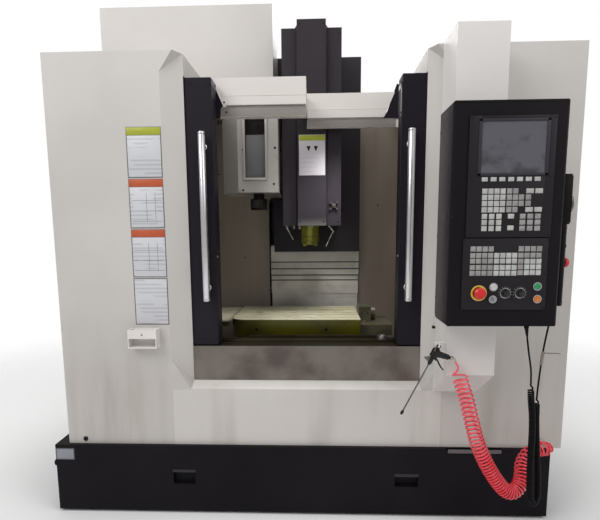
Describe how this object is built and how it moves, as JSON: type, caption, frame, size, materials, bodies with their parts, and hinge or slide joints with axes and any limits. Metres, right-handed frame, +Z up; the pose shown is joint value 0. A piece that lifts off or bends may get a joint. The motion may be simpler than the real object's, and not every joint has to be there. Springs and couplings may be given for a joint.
{
  "type": "cnc machining center",
  "caption": "Vertical machining center with sliding doors, table on saddle, spindle head, tool magazine, swing-out operator panel and coolant tank.",
  "frame": {"origin": "centre of the footprint at floor level", "axes": "+X to the operator's right along the table, +Y from the front doors to the rear cabinet, +Z up"},
  "size_m": [2.374, 2.558, 2.564],
  "materials": {
    "cover_white": "fine texture paint",
    "navy": "satin dark paint",
    "cast": "painted casting with machined ways",
    "stainless": "brushed",
    "inner": "matt paint",
    "steel_dark": "satin paint",
    "machined": "ground",
    "glass": "clear",
    "black_metal": "fine texture paint",
    "screen": "gloss",
    "keys": "matt",
    "red": "gloss",
    "green": "gloss",
    "orange": "gloss",
    "white": "gloss",
    "chrome": "polished",
    "hose_red": "gloss",
    "black_rubber": "matt",
    "black_plastic": "matt",
    "pump_green": "paint",
    "knob_white": "matt"
  },
  "bodies": {
    "frame": {"bed_casting": "cast", "column_casting": "cast", "front_panel_left": "cover_white", "front_panel_right": "cover_white", "front_panel_lower": "cover_white", "apron": "stainless", "side_panel_left": "cover_white", "side_panel_right": "cover_white", "rear_cabinet": "cover_white", "inner_walls": "inner", "top_rail_left": "cover_white", "top_rail_right": "cover_white", "magazine_cover": "cover_white", "port_box": "cover_white", "port_window": "glass", "pillar": "cover_white", "shelf_box": "cover_white", "level_feet": "steel_dark", "z_motor": "steel_dark", "coolant_tank": "navy", "coolant_pump": "pump_green", "z_cover_4": "stainless", "gun_body": "black_plastic", "air_hose": "hose_red"},
    "door_l": {"door_left": "navy", "door_left_window": "glass", "door_left_handle": "stainless"},
    "door_r": {"door_right": "navy", "door_right_window": "glass", "door_right_handle": "stainless"},
    "saddle": {"saddle": "cast"},
    "table": {"table": "cast", "x_covers": "steel_dark"},
    "head": {"head_casting": "cast", "head_cover": "navy", "head_back_cover": "navy", "coolant_nozzles": "knob_white", "z_cover_1": "stainless"},
    "spindle": {"spindle_nose": "machined"},
    "stage_2": {"z_cover_2": "stainless"},
    "stage_3": {"z_cover_3": "stainless"},
    "magazine": {"magazine_disc": "machined"},
    "changer": {"atc_arm": "steel_dark"},
    "panel": {"panel_housing": "black_metal", "panel_screen": "screen", "mdi_keys": "keys", "operator_keys": "keys", "panel_bezels": "chrome", "mpg_body": "black_plastic", "mpg_cord": "black_rubber"},
    "estop": {"estop_button": "red"},
    "green": {"green_button": "green"},
    "orange": {"orange_button": "orange"},
    "white": {"white_button": "white"},
    "keysw": {"key_switch": "chrome"},
    "dial_a": {"dial_left": "black_plastic"},
    "dial_b": {"dial_right": "black_plastic"},
    "mpg_w": {"mpg_wheel": "black_plastic"},
    "lever": {"gun_lever": "black_plastic"},
    "cab_door": {"cabinet_door": "cover_white"}
  },
  "joints": [
    {"name": "door_left_slide", "type": "slide", "parent": "frame", "child": "door_l", "axis": [1, 0, 0], "range_m": [0, 0.413]},
    {"name": "door_right_slide", "type": "slide", "parent": "frame", "child": "door_r", "axis": [-1, 0, 0], "range_m": [0, 0.411]},
    {"name": "y_axis", "type": "slide", "parent": "frame", "child": "saddle", "axis": [0, 1, 0], "range_m": [-0.19, 0.16]},
    {"name": "x_axis", "type": "slide", "parent": "saddle", "child": "table", "axis": [1, 0, 0], "range_m": [-0.25, 0.39]},
    {"name": "z_axis", "type": "slide", "parent": "frame", "child": "head", "axis": [0, 0, 1], "range_m": [-0.33, 0.2]},
    {"name": "spindle_rotation", "type": "hinge", "parent": "head", "child": "spindle", "pos_m": [0.037, -0.145, 1.26], "axis": [0, 0, 1], "continuous": true},
    {"name": "stage_2_slide", "type": "slide", "parent": "frame", "child": "stage_2", "axis": [0, 0, 1], "range_m": [-0.22, 0.1334]},
    {"name": "stage_3_slide", "type": "slide", "parent": "frame", "child": "stage_3", "axis": [0, 0, 1], "range_m": [-0.11, 0.0667]},
    {"name": "magazine_rotation", "type": "hinge", "parent": "frame", "child": "magazine", "pos_m": [-0.543, -0.115, 2.236], "axis": [0, 1, 0], "continuous": true},
    {"name": "changer_swing", "type": "hinge", "parent": "frame", "child": "changer", "pos_m": [-0.243, -0.255, 1.5], "axis": [0, 0, 1], "range_deg": [-35, 35]},
    {"name": "panel_swivel", "type": "hinge", "parent": "frame", "child": "panel", "pos_m": [0.808, -1.049, 1.3], "axis": [0, 0, 1], "range_deg": [0, 45]},
    {"name": "estop_push", "type": "slide", "parent": "panel", "child": "estop", "axis": [0, 1, 0], "range_m": [0, 0.005]},
    {"name": "green_push", "type": "slide", "parent": "panel", "child": "green", "axis": [0, 1, 0], "range_m": [0, 0.0025], "stiffness_N_per_m": 400},
    {"name": "orange_push", "type": "slide", "parent": "panel", "child": "orange", "axis": [0, 1, 0], "range_m": [0, 0.0025], "stiffness_N_per_m": 400},
    {"name": "white_push", "type": "slide", "parent": "panel", "child": "white", "axis": [0, 1, 0], "range_m": [0, 0.0025], "stiffness_N_per_m": 400},
    {"name": "key_turn", "type": "hinge", "parent": "panel", "child": "keysw", "pos_m": [0.704, -1.251, 1.076], "axis": [0, -1, 0], "range_deg": [-45, 45]},
    {"name": "dial_left_turn", "type": "hinge", "parent": "panel", "child": "dial_a", "pos_m": [0.747, -1.251, 1.098], "axis": [0, -1, 0], "range_deg": [-120, 120]},
    {"name": "dial_right_turn", "type": "hinge", "parent": "panel", "child": "dial_b", "pos_m": [0.799, -1.251, 1.098], "axis": [0, -1, 0], "range_deg": [-120, 120]},
    {"name": "hand_wheel", "type": "hinge", "parent": "panel", "child": "mpg_w", "pos_m": [0.9823, -1.166, 1.41], "axis": [1, 0, 0], "continuous": true},
    {"name": "gun_trigger", "type": "hinge", "parent": "frame", "child": "lever", "pos_m": [0.5492, -1.095, 0.81656], "axis": [0, 1, 0], "range_deg": [-10, 0], "stiffness_Nm_per_rad": 0.3},
    {"name": "cabinet_door_swing", "type": "hinge", "parent": "frame", "child": "cab_door", "pos_m": [-0.792, 1.264, 1.3], "axis": [0, 0, 1], "range_deg": [0, 105]}
  ],
  "couplings": [
    {"joint": "stage_2_slide", "follows": "z_axis", "ratio": 0.66667},
    {"joint": "stage_3_slide", "follows": "z_axis", "ratio": 0.33333}
  ]
}
